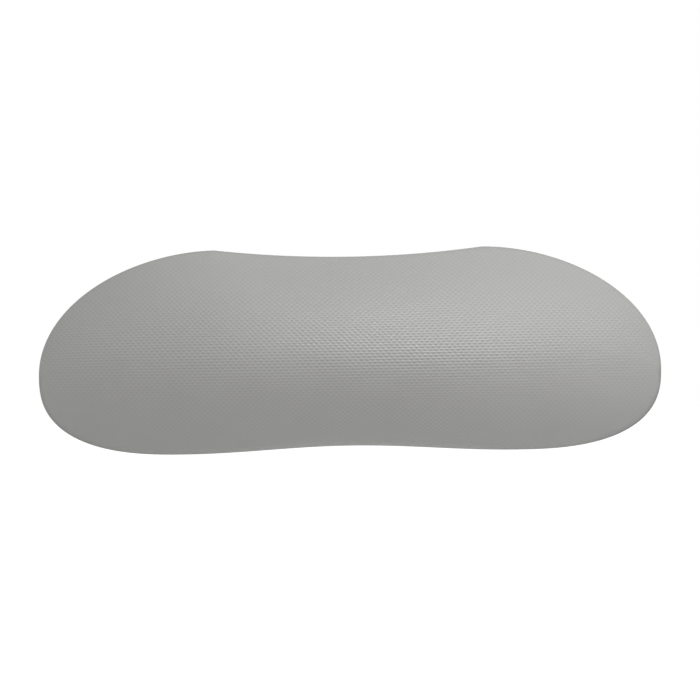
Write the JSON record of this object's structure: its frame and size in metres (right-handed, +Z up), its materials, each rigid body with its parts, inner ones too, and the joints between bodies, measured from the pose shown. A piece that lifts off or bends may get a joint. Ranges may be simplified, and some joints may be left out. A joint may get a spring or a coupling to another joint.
{
  "type": "bath pillow",
  "caption": "Wide crowned bath pillow with a waisted outline, a woven-grain moulded skin over foam, and suction cups that turn in sockets on its flat back.",
  "frame": {"origin": "on the plane that the suction cups stick to, behind the middle of the pillow", "axes": "+X along the width, to the right as seen from the face; +Y out of the back, into the wall; +Z up in use"},
  "size_m": [0.39, 0.063, 0.1275],
  "materials": {
    "grained_skin": "satin",
    "foam": "matte",
    "smooth_skin": "matte",
    "plate_plastic": "matte",
    "socket_plastic": "satin",
    "cup_vinyl": "gloss"
  },
  "bodies": {
    "pillow": {"cover_skin": "grained_skin", "foam_core": "foam", "back_panel": "smooth_skin", "stiffener_plate": "plate_plastic", "cup_socket_upper_left": "socket_plastic", "cup_socket_upper_right": "socket_plastic", "cup_socket_lower_left": "socket_plastic", "cup_socket_lower_right": "socket_plastic"},
    "suction_cup_upper_left": {"suction_cup_upper_left": "cup_vinyl"},
    "suction_cup_upper_right": {"suction_cup_upper_right": "cup_vinyl"},
    "suction_cup_lower_left": {"suction_cup_lower_left": "cup_vinyl"},
    "suction_cup_lower_right": {"suction_cup_lower_right": "cup_vinyl"}
  },
  "joints": [
    {"name": "upper_left_cup_spin", "type": "hinge", "parent": "pillow", "child": "suction_cup_upper_left", "pos_m": [-0.08, 0, 0.02474], "axis": [0, 1, 0], "continuous": true},
    {"name": "upper_right_cup_spin", "type": "hinge", "parent": "pillow", "child": "suction_cup_upper_right", "pos_m": [0.08, 0, 0.02474], "axis": [0, 1, 0], "continuous": true},
    {"name": "lower_left_cup_spin", "type": "hinge", "parent": "pillow", "child": "suction_cup_lower_left", "pos_m": [-0.108, 0, -0.0237], "axis": [0, 1, 0], "continuous": true},
    {"name": "lower_right_cup_spin", "type": "hinge", "parent": "pillow", "child": "suction_cup_lower_right", "pos_m": [0.108, 0, -0.0237], "axis": [0, 1, 0], "continuous": true}
  ]
}
